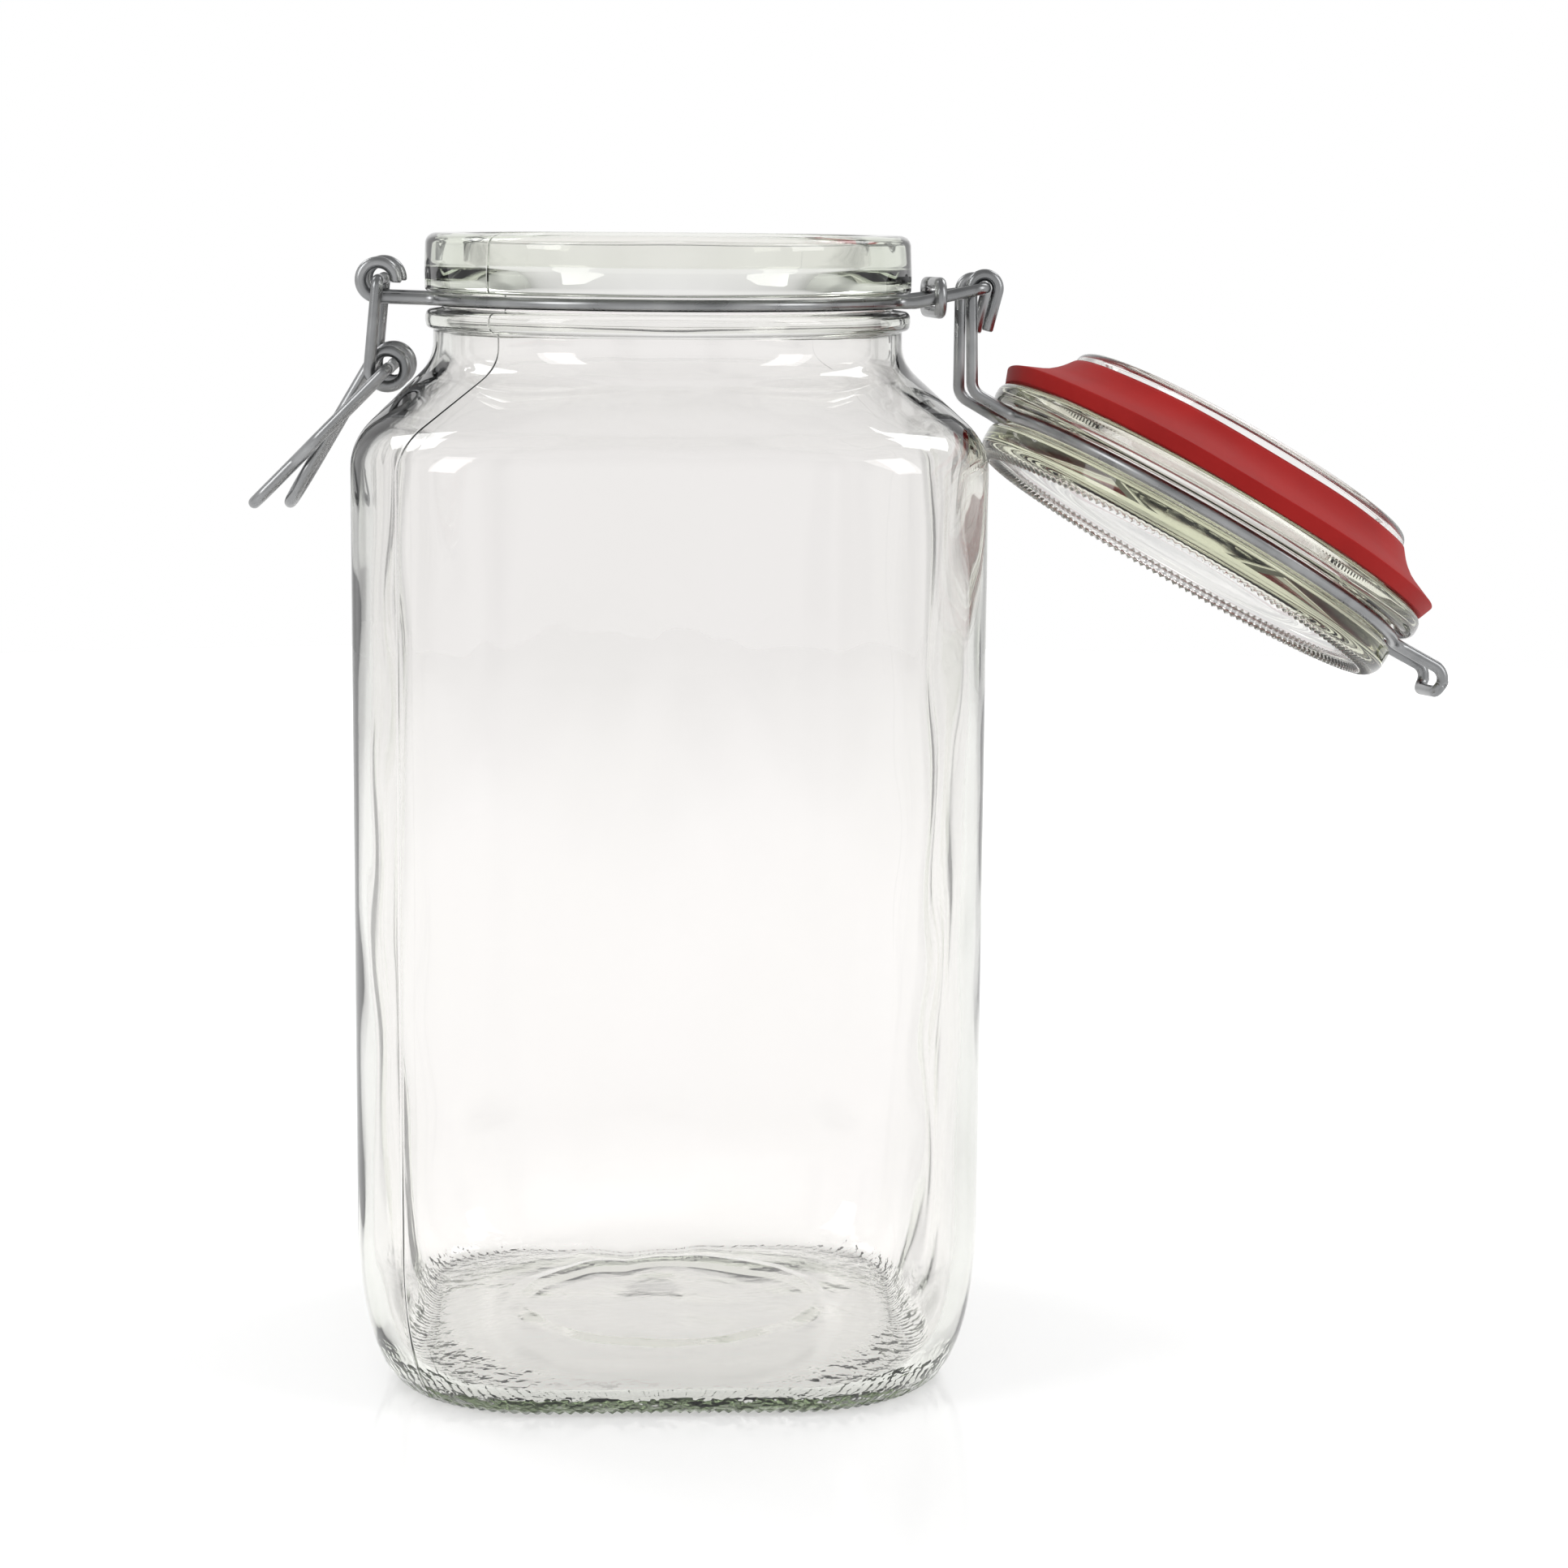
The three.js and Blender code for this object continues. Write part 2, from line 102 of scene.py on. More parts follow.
jar_middle = (0, 0, 0.14)
jar_shoulder = (0, 0, 0.2)
soft_lamp("lamp_left", (-1.1, -0.7, 0.9), jar_middle, 0.5, 0.9, 5)
soft_lamp("lamp_right", (1.2, -0.6, 0.9), jar_middle, 0.5, 0.9, 4.5)
soft_lamp("lamp_back_left", (-0.8, 0.7, 1.2), jar_shoulder, 0.5, 0.5, 3)
soft_lamp("lamp_back_right", (0.8, 0.7, 1.2), jar_shoulder, 0.5, 0.5, 3)

world = bpy.data.worlds.new("white_room")
scene.world = world
world.use_nodes = True
room = world.node_tree
room.nodes.clear()
panel_count = 8
panel_edge = -0.2
backdrop_level = 0.92
gap_level = 0.62
ceiling_level = 0.5
ceiling_start, ceiling_full = 0.25, 0.8
ambient_level = 0.55


def node_maths(tree, operation, first, second):
    """A math node over two sockets or plain numbers. Gives back its result."""
    node = tree.nodes.new("ShaderNodeMath")
    node.operation = operation
    for socket, value in zip(node.inputs, (first, second)):
        if isinstance(value, (int, float)):
            socket.default_value = value
        else:
            tree.links.new(value, socket)
    return node.outputs[0]


def map_value(tree, value, low, high, at_low, at_high):
    """A smooth change from at_low to at_high while value runs from low to high."""
    node = tree.nodes.new("ShaderNodeMapRange")
    node.interpolation_type = "SMOOTHSTEP"
    for socket, number in zip(list(node.inputs)[1:5], (low, high, at_low, at_high)):
        socket.default_value = number
    tree.links.new(value, node.inputs["Value"])
    return node.outputs["Result"]


def kinds_of_ray(tree):
    """Two values: 1 for what glass and metal show, and 1 for what is looked at directly."""
    sight = tree.nodes.new("ShaderNodeLightPath")
    in_glass = node_maths(
        tree, "MAXIMUM", sight.outputs["Is Glossy Ray"], sight.outputs["Is Transmission Ray"]
    )
    return in_glass, sight.outputs["Is Camera Ray"]


in_glass, in_camera = kinds_of_ray(room)
direction = room.nodes.new("ShaderNodeTexCoord")
height_of = room.nodes.new("ShaderNodeSeparateXYZ")
room.links.new(direction.outputs["Generated"], height_of.inputs[0])
around = node_maths(room, "ARCTAN2", height_of.outputs["Y"], height_of.outputs["X"])
beat = node_maths(room, "COSINE", node_maths(room, "MULTIPLY", around, panel_count), 0)
panels = map_value(room, beat, -1, panel_edge, gap_level, backdrop_level)
upward = height_of.outputs["Z"]
overhead = map_value(room, upward, ceiling_start, ceiling_full, 1, ceiling_level)
backdrop = node_maths(room, "MULTIPLY", panels, overhead)
brighter = node_maths(room, "SUBTRACT", backdrop, ambient_level)
shown = node_maths(room, "MULTIPLY", in_glass, brighter)
white = node_maths(room, "MULTIPLY", in_camera, 1 - ambient_level)
level = node_maths(room, "ADD", node_maths(room, "ADD", shown, white), ambient_level)
light = room.nodes.new("ShaderNodeBackground")
light.inputs["Color"].default_value = (1, 1, 1, 1)
room.links.new(level, light.inputs["Strength"])
room_out = room.nodes.new("ShaderNodeOutputWorld")
room.links.new(light.outputs[0], room_out.inputs["Surface"])

table_reach = 1.3
table_sides = 96
# The table glows as well. What glass and metal see of it is painted light: a pool of painted light
# under the jar fills the shade that the jar casts there, and the table is painted brighter near
# the jar than far off.
painted_light_under_jar = 0.26
painted_light_near, painted_light_far = 0.25, 0.13
seen_near, seen_far = 0.35, 0.6
table_mesh = bpy.data.meshes.new("table")
turns = [2 * math.pi * i / table_sides for i in range(table_sides)]
table_mesh.from_pydata(
    [(table_reach * math.cos(a), table_reach * math.sin(a), 0) for a in turns],
    [],
    [range(table_sides)],
)
table = bpy.data.objects.new("table", table_mesh)
scene.collection.objects.link(table)
table_white = bpy.data.materials.new("table_white")
table_white.use_nodes = True
painted = table_white.node_tree
board = painted.nodes["Principled BSDF"]
board.inputs["Base Color"].default_value = (0.86, 0.86, 0.86, 1)
board.inputs["Roughness"].default_value = 0.12
board.inputs["Specular IOR Level"].default_value = 0.3
glow = painted.nodes.new("ShaderNodeEmission")
glow.inputs["Color"].default_value = (1, 1, 1, 1)
in_glass, in_camera = kinds_of_ray(painted)
spot = painted.nodes.new("ShaderNodeTexCoord")
far = painted.nodes.new("ShaderNodeVectorMath")
far.operation = "LENGTH"
painted.links.new(spot.outputs["Object"], far.inputs[0])
# Painted light for glass and metal only: a pool under the jar and a glow that fades outward.
painted_pool_under_jar = map_value(painted, far.outputs["Value"], 0.04, 0.2, painted_light_under_jar, 0)
painted_light_outward = map_value(painted, far.outputs["Value"], 0.5, 1.25, painted_light_near, painted_light_far)
painted_light_sum = node_maths(painted, "ADD", painted_pool_under_jar, painted_light_outward)
painted_light_in_glass = node_maths(painted, "MULTIPLY", in_glass, painted_light_sum)
# For the camera the glow grows with distance, so that the whole table is evenly white.
fill = map_value(painted, far.outputs["Value"], 0.2, 1.2, seen_near, seen_far)
camera_fill = node_maths(painted, "MULTIPLY", in_camera, fill)
painted.links.new(node_maths(painted, "ADD", painted_light_in_glass, camera_fill), glow.inputs["Strength"])
both = painted.nodes.new("ShaderNodeAddShader")
painted.links.new(board.outputs[0], both.inputs[0])
painted.links.new(glow.outputs[0], both.inputs[1])
painted.links.new(both.outputs[0], painted.nodes["Material Output"].inputs["Surface"])
table_mesh.materials.append(table_white)

scene.view_settings.view_transform = "Standard"

# ---- Jar glass ---------------------------------------------------------------------------------
# One pressed body of clear soda-lime glass: a square with round corners that opens into a round
# neck. Its walls have parallel faces, the inner one a little wavy, above a domed floor. The
# mould's seam runs up two opposite corners and the foot stands on a ring of fine ribs.

jar_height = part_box("jar_glass")[1][2]
body_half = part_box("jar_glass")[1][0]
body_corner = 0.037
wall = 0.0035
base_height = 0.009
base_edge = 0.0045
punt = 0.0042
floor_disc = 0.034
heel_inset = 0.0105
heel_height = 0.034
foot = body_half - heel_inset
foot_corner = 0.030
foot_flat = 0.004
inner_heel = 0.0095
heel_rise = 0.0285
shoulder_top = jar_height - 0.023
shoulder_curve = 0.013
shoulder_fillet = 0.009
neck_radius = 0.050
neck_inner = 0.0465
mouth_radius = 0.043
rim_radius = 0.0517
rim_height = 0.0122
groove_radius = 0.048
groove_height = 0.0034
bead_radius = 0.0516
bead_height = 0.0046
mouth_depth = 0.007
rim_middle = (rim_radius + mouth_radius) / 2
shoulder_angle = math.radians(46)
seam_bearings = (math.radians(45), math.radians(225))
seam_heights = (0.00006, 0.0002)
seam_width = math.radians(0.3)
seam_low = 0.001
seam_inside = 0.003
rib_count = 180
rib_height = 0.0009
rib_depth = 0.0006
rib_band = 0.07
rib_top = 0.008
inner_wave = 0.0005
inner_ripple = 0.00025
ripple_ratio = 3.1
waves_round = 2.2
waves_up = 14
floor_wave = 0.0004
floor_waves = 80


def bend(corners, step=math.radians(10)):
    """Rounds each corner (x, y, z, radius) of a path. A corner with no radius stays sharp."""
    places = [Vector(c[:3]) for c in corners]
    path = []
    for i, corner in enumerate(corners):
        here = places[i]
        radius = corner[3] if len(corner) > 3 else 0
        if not radius or i in (0, len(corners) - 1):
            path.append(here)
            continue
        back = (places[i - 1] - here).normalized()
        ahead = (places[i + 1] - here).normalized()
        turn = math.pi - back.angle(ahead)
        centre = here + (back + ahead).normalized() * (radius / math.cos(turn / 2))
        start = here + back * (radius * math.tan(turn / 2)) - centre
        axis = ahead.cross(back).normalized()
        count = max(2, math.ceil(turn / step))
        for k in range(count + 1):
            path.append(Matrix.Rotation(turn * k / count, 3, axis) @ start + centre)
    return path


def arc(x, z, radius_x, radius_z, start, stop, steps):
    """Corners of an arc in the outline plane, angles in degrees."""
    turns = [math.radians(start + (stop - start) * i / steps) for i in range(steps + 1)]
    return [(x + radius_x * math.cos(a), 0, z + radius_z * math.sin(a)) for a in turns]


def outline(corners, longest=0.004):
    """A rounded outline as (reach, z) pairs, with long straights cut into short steps."""
    path = bend(corners)
    points = [path[0]]
    for here in path[1:]:
        last = points[-1]
        gap = (here - last).length
        if gap < 1e-6:
            continue
        count = math.ceil(gap / longest)
        points += [last.lerp(here, k / count) for k in range(1, count + 1)]
    return [(p.x, p.z) for p in points]


def shoulder(half, neck, top, curve, fillet):
    """From the side of the body in over the shoulder to the neck."""
    drop = 1 - math.cos(shoulder_angle)
    slope = (half - neck - (curve + fillet) * drop) / math.sin(shoulder_angle)
    rise = (curve + fillet) * math.sin(shoulder_angle) + slope * math.cos(shoulder_angle)
    degrees = math.degrees(shoulder_angle)
    return arc(half - curve, top - rise, curve, curve, 0, degrees, 10) + arc(
        neck + fillet, top, -fillet, -fillet, degrees, 0, 8
    )


def square_reach(bearing, half, corner):
    """How far a square with round corners reaches from its middle at one bearing."""
    across = max(abs(math.cos(bearing)), abs(math.sin(bearing)))
    along = min(abs(math.cos(bearing)), abs(math.sin(bearing)))
    offset = half - corner
    if half / across * along <= offset:
        return half / across
    toward = offset * (across + along)
    return toward + math.sqrt(toward**2 - 2 * offset**2 + corner**2)


def close_skin(name, rings, first=None, last=None):
    """A smooth mesh over a stack of rings. Without end points the last ring meets the first."""
    sides = len(rings[0])
    vertices = [v for ring in rings for v in ring]
    faces = []
    loops = len(rings) if first is None else len(rings) - 1
    for r in range(loops):
        low, high = r * sides, (r + 1) % len(rings) * sides
        for s in range(sides):
            t = (s + 1) % sides
            faces.append((low + s, low + t, high + t, high + s))
    if first is not None:
        vertices += [first, last]
        bottom, top = len(vertices) - 2, len(vertices) - 1
        edge = (len(rings) - 1) * sides
        for s in range(sides):
            t = (s + 1) % sides
            faces.append((bottom, t, s))
            faces.append((top, edge + s, edge + t))
    mesh = bpy.data.meshes.new(name)
    mesh.from_pydata(vertices, [], faces)
    mesh.shade_smooth()
    piece = bpy.data.objects.new(name, mesh)
    scene.collection.objects.link(piece)
    return piece


def jar_outside():
    """From the middle of the base out under the foot, up the wall and onto the rim."""
    rim_bottom = jar_height - rim_height
    bead_top = rim_bottom - groove_height
    return outline(
        [
            (0.001, 0, punt),
            (floor_disc, 0, punt - 0.0006, 0.08),
            (foot - 0.009, 0, 0.0008, 0.006),
            (foot - foot_flat, 0, 0, 0.003),
        ]
        + arc(foot, heel_height, heel_inset, -heel_height, 90, 0, 18)
        + shoulder(body_half, neck_radius, shoulder_top, shoulder_curve, shoulder_fillet)
        + [
            (neck_radius, 0, bead_top - bead_height, 0.0005),
            (bead_radius - 0.0003, 0, bead_top - bead_height + 0.0004, 0.0012),
            (bead_radius, 0, bead_top - bead_height / 2, 0.004),
            (bead_radius - 0.0003, 0, bead_top - 0.0004, 0.0012),
            (groove_radius, 0, bead_top, 0.0004),
            (groove_radius, 0, rim_bottom, 0.0004),
            (rim_radius - 0.0001, 0, rim_bottom, 0.0008),
            (rim_radius, 0, rim_bottom + 0.004, 0.02),
            (rim_radius - 0.0003, 0, jar_height, 0.0022),
            (rim_middle, 0, jar_height),
        ]
    )


def jar_inside():
    """From the rim down through the neck and the inner wall to the middle of the floor."""
    mouth_bottom = jar_height - mouth_depth
    inner_half = body_half - wall
    inner_curve = shoulder_curve - wall
    inner_fillet = shoulder_fillet + wall
    return outline(
        [
            (rim_middle, 0, jar_height),
            (mouth_radius, 0, jar_height, 0.002),
            (mouth_radius, 0, mouth_bottom, 0.003),
            (neck_inner, 0, mouth_bottom - 0.005, 0.006),
        ]
        + shoulder(inner_half, neck_inner, shoulder_top, inner_curve, inner_fillet)[::-1]
        + arc(inner_half - inner_heel, base_edge + heel_rise, inner_heel, -heel_rise, 0, 90, 18)
        + [
            (floor_disc + 0.008, 0, base_height - 0.0020, 0.02),
            (floor_disc + 0.0015, 0, base_height - 0.0011, 0.004),
            (floor_disc - 0.0015, 0, base_height - 0.0003, 0.004),
            (0.001, 0, base_height),
        ]
    )


def near_seam(bearing):
    """Height of the mould's seam, which is sharper on one corner than on the other."""
    lift = 0
    for seam, height in zip(seam_bearings, seam_heights):
        off = abs(math.remainder(bearing - seam, 2 * math.pi))
        lift += height * max(0.0, 1 - off / seam_width)
    return lift


def corner_at(reach, z, half, neck, corner):
    """The corner's radius, which grows to a full circle at the neck and round the floor's disc."""
    if z > jar_height / 2:
        share = min(1, max(0, (half - reach) / (half - neck)))
        return min(reach, corner + (neck - corner) * share)
    corner -= (body_corner - foot_corner) / heel_inset * (half - reach)
    rounding = max(0, (foot - foot_flat - reach) / (foot - foot_flat - floor_disc))
    return min(reach, corner + (reach - corner) * min(1, rounding))


def wobble_share(z):
    """The inner wall is wavy, but the rim is true and the floor nearly so."""
    if z > base_height:
        return min(1, max(0, (jar_height - 0.015 - z) / 0.03))
    return 0.3


def outer_ring(reach, z, bearings):
    """One ring of the outside, with the mould's seam and the foot's ribs."""
    corner = corner_at(reach, z, body_half, neck_radius, body_corner)
    seamed = z > seam_low and reach > neck_radius - seam_inside
    points = []
    for bearing in bearings:
        spread = square_reach(bearing, reach, corner)
        if seamed:
            spread += near_seam(bearing)
        off_foot = abs(spread / square_reach(bearing, foot, foot_corner) - 1)
        ribbed = max(0, 1 - off_foot / rib_band) if z < rib_top else 0
        notch = ribbed * (0.5 - 0.5 * math.cos(rib_count * bearing))
        spread -= rib_depth * notch
        x, y = spread * math.cos(bearing), spread * math.sin(bearing)
        points.append((x, y, z + rib_height * notch))
    return points


def inner_ring(reach, z, bearings):
    """One ring of the inside, with the slow waves that cooling leaves in pressed glass."""
    corner = corner_at(reach, z, body_half - wall, neck_inner, body_corner - wall)
    on_floor = reach < 0.040 and z < 0.03
    points = []
    for bearing in bearings:
        spread = square_reach(bearing, reach, corner)
        x, y = math.cos(bearing), math.sin(bearing)
        place = Vector((x * waves_round, y * waves_round, z * waves_up))
        spread += inner_wave * wobble_share(z) * noise.noise(place)
        spread += inner_ripple * wobble_share(z) * noise.noise(place * ripple_ratio)
        height = z
        if on_floor:
            height += floor_wave * noise.noise(Vector((x, y, 0)) * reach * floor_waves)
        points.append((x * spread, y * spread, height))
    return points


def jar_glass():
    side_count = 4 * rib_count
    bearings = [2 * math.pi * i / side_count for i in range(side_count)]
    for seam in seam_bearings:
        bearings += [seam + seam_width * share for share in (-1, -0.5, 0.5, 1)]
    bearings.sort()
    rings = [outer_ring(reach, z, bearings) for reach, z in jar_outside()]
    rings += [inner_ring(reach, z, bearings) for reach, z in jar_inside()[1:]]
    return close_skin("jar_glass_clear", rings, (0, 0, punt), (0, 0, base_height))


def clear_glass(name, loss, tint, stippled=False):
    """Clear glass that turns grey-green where light runs far through it.

    loss is what a metre of it takes from a hue that tint doesn't hold. Stippled glass is rough
    under its heel.
    """
    material = bpy.data.materials.new(name)
    material.use_nodes = True
    tree = material.node_tree
    glass = tree.nodes["Principled BSDF"]
    glass.inputs["Base Color"].default_value = (1.0, 0.98, 0.99, 1)
    glass.inputs["Transmission Weight"].default_value = 1.0
    glass.inputs["IOR"].default_value = 1.5
    place = tree.nodes.new("ShaderNodeTexCoord")
    ripple = tree.nodes.new("ShaderNodeTexNoise")
    ripple.inputs["Scale"].default_value = 38
    ripple.inputs["Detail"].default_value = 1.5
    relief = tree.nodes.new("ShaderNodeBump")
    relief.inputs["Strength"].default_value = 0.12
    relief.inputs["Distance"].default_value = 0.0006
    smear = tree.nodes.new("ShaderNodeTexNoise")
    smear.inputs["Scale"].default_value = 14
    smear.inputs["Detail"].default_value = 4
    polish = tree.nodes.new("ShaderNodeMapRange")
    polish.inputs["From Min"].default_value = 0.45
    polish.inputs["From Max"].default_value = 0.75
    polish.inputs["To Min"].default_value = 0.0
    polish.inputs["To Max"].default_value = 0.05
    tree.links.new(place.outputs["Object"], ripple.inputs["Vector"])
    tree.links.new(place.outputs["Object"], smear.inputs["Vector"])
    tree.links.new(ripple.outputs["Fac"], relief.inputs["Height"])
    tree.links.new(smear.outputs["Fac"], polish.inputs["Value"])
    if stippled:
        stipple_top, stipple_end = 0.003, 0.006
        stipple_start, stipple_full = 0.046, 0.064
        spot = tree.nodes.new("ShaderNodeSeparateXYZ")
        tree.links.new(place.outputs["Object"], spot.inputs[0])
        flat = tree.nodes.new("ShaderNodeVectorMath")
        flat.operation = "MULTIPLY"
        flat.inputs[1].default_value = (1, 1, 0)
        tree.links.new(place.outputs["Object"], flat.inputs[0])
        away = tree.nodes.new("ShaderNodeVectorMath")
        away.operation = "LENGTH"
        tree.links.new(flat.outputs[0], away.inputs[0])
        low = map_value(tree, spot.outputs["Z"], stipple_top, stipple_end, 1, 0)
        outer = map_value(tree, away.outputs["Value"], stipple_start, stipple_full, 0.03, 1)
        grain = tree.nodes.new("ShaderNodeTexNoise")
        grain.inputs["Scale"].default_value = 260
        grain.inputs["Detail"].default_value = 2
        tree.links.new(place.outputs["Object"], grain.inputs["Vector"])
        stipple = tree.nodes.new("ShaderNodeBump")
        stipple.inputs["Distance"].default_value = 0.002
        tree.links.new(node_maths(tree, "MULTIPLY", low, outer), stipple.inputs["Strength"])
        tree.links.new(grain.outputs["Fac"], stipple.inputs["Height"])
        tree.links.new(relief.outputs["Normal"], stipple.inputs["Normal"])
        relief = stipple
    tree.links.new(relief.outputs["Normal"], glass.inputs["Normal"])
    tree.links.new(polish.outputs["Result"], glass.inputs["Roughness"])
    depth = tree.nodes.new("ShaderNodeVolumeAbsorption")
    depth.inputs["Color"].default_value = (*tint, 1)
    depth.inputs["Density"].default_value = loss
    tree.links.new(depth.outputs["Volume"], tree.nodes["Material Output"].inputs["Volume"])
    return material


jar = jar_glass()
jar.data.materials.append(clear_glass("jar_clear", 20, (0.48, 0.60, 0.34), stippled=True))
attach(jar, "jar")
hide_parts("jar_glass")

# ---- Neck wire ---------------------------------------------------------------------------------
# One length of zinc-plated steel wire, bent cold: round the neck's groove, its two ends curled
# into eyes for the lever on one side, and run out on the other side to the bar that the lid
# hinges on.

wire_radius = 0.00125
wire_gap = 0.0003
lever_pivot = Vector(joint["lever_pivot"]["pos_m"])
hinge_bar = Vector(joint["lid_hinge"]["pos_m"])
neck_wire_z = jar_height - rim_height - groove_height / 2
neck_ring = groove_radius + wire_radius + wire_gap
eye_radius = 0.00365
eye_y = 0.0115
hinge_strand_y = 0.015
hinge_axis = -Vector(joint["lid_hinge"]["axis"])
neck_front, neck_back = 161.5, 22
ring_bend = 0.0045
bar_bend = 0.0028


def upright_arc(centre, radius, y, start, stop, step=8):
    """Corners along an arc in an upright plane, angles in degrees."""
    count = max(2, math.ceil(abs(stop - start) / step))
    turns = [math.radians(start + (stop - start) * i / count) for i in range(count + 1)]
    return [(centre.x + radius * math.cos(a), y, centre.z + radius * math.sin(a)) for a in turns]


def level_arc(radius, z, start, stop, step=2.5):
    """Corners along a level ring about the jar's axis, angles in degrees."""
    count = math.ceil(abs(stop - start) / step)
    turns = [math.radians(start + (stop - start) * i / count) for i in range(count + 1)]
    return [(radius * math.cos(a), radius * math.sin(a), z) for a in turns]


def leave_ring(radius, bearing, y):
    """Where the tangent of a ring at one bearing crosses a given y."""
    a = math.radians(bearing)
    return (radius - y * math.sin(a)) / math.cos(a)


def both_sides(side):
    """A wire made of two sides, far then near, that meet where both of them end."""
    return side(1) + side(-1)[::-1]


def bar_height(y):
    """The hinge bar's height. It isn't quite level."""
    return hinge_bar.z + y * hinge_axis.z / hinge_axis.y


def bent_wire(name, corners, placed=None, sides=20):
    """Round wire swept along its bent centre line, with slightly rounded cut ends."""
    path = bend(corners)
    steps = [(b - a).normalized() for a, b in zip(path, path[1:])]
    along = [steps[0]] + [(a + b).normalized() for a, b in zip(steps, steps[1:])] + [steps[-1]]
    side = along[0].orthogonal().normalized()
    frames = []
    for i, direction in enumerate(along):
        if i:
            side = along[i - 1].rotation_difference(direction) @ side
        frames.append((path[i], side.copy(), direction.cross(side)))
    burr = 0.0003
    end_share = 0.8
    first, last = frames[0], frames[-1]
    frames.insert(1, (first[0] + along[0] * burr, *first[1:]))
    frames.insert(-1, (last[0] - along[-1] * burr, *last[1:]))
    rings = []
    for i, (centre, across, up) in enumerate(frames):
        radius = wire_radius * (end_share if i in (0, len(frames) - 1) else 1)
        turns = [2 * math.pi * s / sides for s in range(sides)]
        rings.append(
            [centre + radius * (math.cos(a) * across + math.sin(a) * up) for a in turns]
        )
    if placed:
        rings = [[placed @ point for point in ring] for ring in rings]
        path = [placed @ point for point in path]
    return close_skin(name, rings, path[0], path[-1])


def plated_wire():
    """Dull zinc over drawn steel, with small pits and cloudy grey patches."""
    material = bpy.data.materials.new("plated_wire")
    material.use_nodes = True
    tree = material.node_tree
    steel = tree.nodes["Principled BSDF"]
    steel.inputs["Metallic"].default_value = 1.0
    place = tree.nodes.new("ShaderNodeTexCoord")
    cloud = tree.nodes.new("ShaderNodeTexNoise")
    cloud.inputs["Scale"].default_value = 110
    cloud.inputs["Detail"].default_value = 3
    shade = tree.nodes.new("ShaderNodeValToRGB")
    shade.color_ramp.elements[0].position = 0.3
    shade.color_ramp.elements[0].color = (0.24, 0.245, 0.25, 1)
    shade.color_ramp.elements[1].position = 0.7
    shade.color_ramp.elements[1].color = (0.38, 0.385, 0.39, 1)
    dull = tree.nodes.new("ShaderNodeMapRange")
    dull.inputs["To Min"].default_value = 0.22
    dull.inputs["To Max"].default_value = 0.36
    pits = tree.nodes.new("ShaderNodeTexNoise")
    pits.inputs["Scale"].default_value = 900
    pits.inputs["Detail"].default_value = 3
    relief = tree.nodes.new("ShaderNodeBump")
    relief.inputs["Strength"].default_value = 0.05
    relief.inputs["Distance"].default_value = 0.0001
    tree.links.new(place.outputs["Object"], cloud.inputs["Vector"])
    tree.links.new(place.outputs["Object"], pits.inputs["Vector"])
    tree.links.new(cloud.outputs["Fac"], shade.inputs["Fac"])
    tree.links.new(shade.outputs["Color"], steel.inputs["Base Color"])
    tree.links.new(cloud.outputs["Fac"], dull.inputs["Value"])
    tree.links.new(dull.outputs["Result"], steel.inputs["Roughness"])
    tree.links.new(pits.outputs["Fac"], relief.inputs["Height"])
    tree.links.new(relief.outputs["Normal"], steel.inputs["Normal"])
    return material


def neck_wire_side(sign):
    """From the lever's eye round half the groove and out to the middle of the hinge bar."""
    strand_y = sign * hinge_strand_y
    eye_x = leave_ring(neck_ring, neck_front, eye_y)
    strand_x = leave_ring(neck_ring, neck_back, hinge_strand_y)
    return (
        upright_arc(lever_pivot, eye_radius, sign * eye_y, -8, 270)
        + [(eye_x, sign * eye_y, neck_wire_z, ring_bend)]
        + level_arc(neck_ring, neck_wire_z, sign * neck_front, sign * neck_back)
        + [
            (strand_x, strand_y, neck_wire_z, ring_bend),
            (rim_radius, strand_y, neck_wire_z, ring_bend),
            (hinge_bar.x, strand_y, bar_height(strand_y), bar_bend),
        ]
    )


wire_finish = plated_wire()
neck_wire = bent_wire("neck_wire_round", both_sides(neck_wire_side))
neck_wire.data.materials.append(wire_finish)
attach(neck_wire, "jar")
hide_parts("neck_wire")

# ---- Keeper ring -------------------------------------------------------------------------------
# A short piece of the same wire, closed into an oval round the two strands behind the neck. It
# holds them together so that the neck wire can't spring out of its groove.

keeper_low, keeper_high = (Vector(corner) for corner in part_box("keeper_ring"))
keeper_x = (keeper_low.x + keeper_high.x) / 2
keeper_loop = 2 * wire_radius + 2 * wire_gap
keeper_joint = 0.0004


def keeper_side(sign):
    """From the joint on top round one strand. The run to the other side goes underneath."""
    run = (keeper_x - rim_radius) / (hinge_bar.x - rim_radius)
    strand_z = neck_wire_z + (bar_height(sign * hinge_strand_y) - neck_wire_z) * run
    middle_z = neck_wire_z + (hinge_bar.z - neck_wire_z) * run
    turns = [math.radians(90 - 10 * i) for i in range(19)]
    return [(keeper_x, sign * keeper_joint / 2, middle_z + keeper_loop)] + [
        (
            keeper_x,
            sign * (hinge_strand_y + keeper_loop * math.cos(a)),
            strand_z + keeper_loop * math.sin(a),
        )
        for a in turns
    ]


keeper_ring = bent_wire("keeper_ring_round", both_sides(keeper_side))
keeper_ring.data.materials.append(wire_finish)
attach(keeper_ring, "jar")
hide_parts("keeper_ring")

# ---- Latch lever -------------------------------------------------------------------------------
# One wire again. Its ends turn inward through the eyes, its arms drop to a coil of one turn on
# each side, which is the bail's bearing, and the rest is the handle that a finger pulls.

